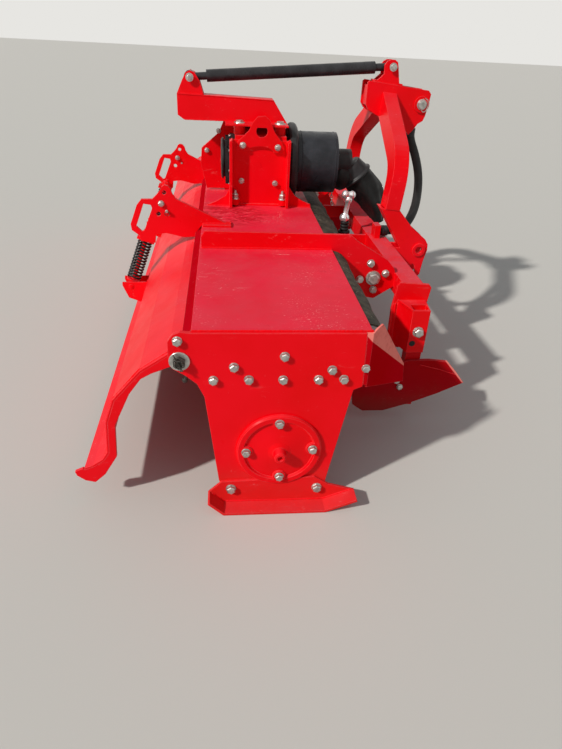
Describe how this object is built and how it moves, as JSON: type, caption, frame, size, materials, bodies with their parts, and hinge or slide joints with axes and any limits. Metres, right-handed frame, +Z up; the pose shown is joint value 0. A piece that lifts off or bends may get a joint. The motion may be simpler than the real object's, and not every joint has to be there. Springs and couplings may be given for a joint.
{
  "type": "rotavator",
  "caption": "Red three-point-linkage rotavator with a flat hood, curved sprung trailing board, bowed mast, stay bar, side skids, front legs with shares and a shielded drive shaft.",
  "frame": {"origin": "centre of the footprint on the ground, under the machine", "axes": "+X forward to the tractor, +Y across the working width to the machine's left, +Z up"},
  "size_m": [1.349, 2.97, 1.1735],
  "materials": {
    "red_paint": "semi-gloss red paint",
    "dark_plastic": "moulded guard",
    "black_plastic": "moulded black plastic",
    "black_rubber": "matt rubber",
    "black_paint": "satin black paint",
    "zinc": "zinc plated",
    "bare_steel": "forged steel",
    "spring_steel": "dark spring steel",
    "cast_grey": "painted casting"
  },
  "bodies": {
    "frame": {"ball_link": "zinc", "bearing_flange": "red_paint", "braces": "red_paint", "bracket_far": "red_paint", "bracket_near": "red_paint", "corner_guards": "red_paint", "cross_plates": "red_paint", "drive_tube": "red_paint", "front_beam": "red_paint", "front_flaps": "black_rubber", "gear_case": "red_paint", "gearbox": "cast_grey", "gearbox_cover": "black_plastic", "head_bosses": "red_paint", "head_lug": "red_paint", "hinge_pins": "zinc", "hitch_plates": "red_paint", "hitch_rings": "red_paint", "hood": "red_paint", "hose": "black_rubber", "hose_clamp": "red_paint", "hose_socket": "red_paint", "leg_holders": "red_paint", "leg_shanks": "red_paint", "leg_shares": "red_paint", "lifting_lug": "red_paint", "link_sleeve": "black_rubber", "mast_arms": "red_paint", "mast_head": "red_paint", "rear_beam": "red_paint", "rear_lugs": "red_paint", "rear_pin": "zinc", "shaft_bell": "black_plastic", "shaft_boot": "black_rubber", "shaft_shield": "dark_plastic", "shaft_yoke": "bare_steel", "shield_collar": "black_plastic", "shield_rim": "black_plastic", "side_plates": "red_paint", "skids": "red_paint", "spring_arms": "red_paint", "stay_bar": "black_paint", "stay_pin": "zinc", "top_link_pin": "zinc"},
    "rotor": {"rotor_tube": "red_paint", "tine_discs": "red_paint", "tines": "bare_steel"},
    "board": {"board_ribs": "red_paint", "board_sheet": "red_paint", "spring_cups": "red_paint"},
    "rod_near": {"spring_rod_near": "red_paint", "board_spring_near": "spring_steel"},
    "rod_far": {"spring_rod_far": "red_paint", "board_spring_far": "spring_steel"}
  },
  "joints": [
    {"name": "rotor_turn", "type": "hinge", "parent": "frame", "child": "rotor", "pos_m": [-0.09, 0, 0.201], "axis": [0, 1, 0], "continuous": true},
    {"name": "board_hinge", "type": "hinge", "parent": "frame", "child": "board", "pos_m": [-0.364, 0, 0.499], "axis": [0, 1, 0], "range_deg": [0, 12]},
    {"name": "rod_near_swing", "type": "hinge", "parent": "board", "child": "rod_near", "pos_m": [-0.63, 0, 0.318], "axis": [0, 1, 0], "range_deg": [0, 5.1], "deforming": ["board_spring_near"]},
    {"name": "rod_far_swing", "type": "hinge", "parent": "board", "child": "rod_far", "pos_m": [-0.63, 0, 0.318], "axis": [0, 1, 0], "range_deg": [0, 5.1], "deforming": ["board_spring_far"]}
  ],
  "couplings": [
    {"joint": "rod_near_swing", "follows": "board_hinge", "ratio": 0.42},
    {"joint": "rod_far_swing", "follows": "board_hinge", "ratio": 0.42}
  ]
}
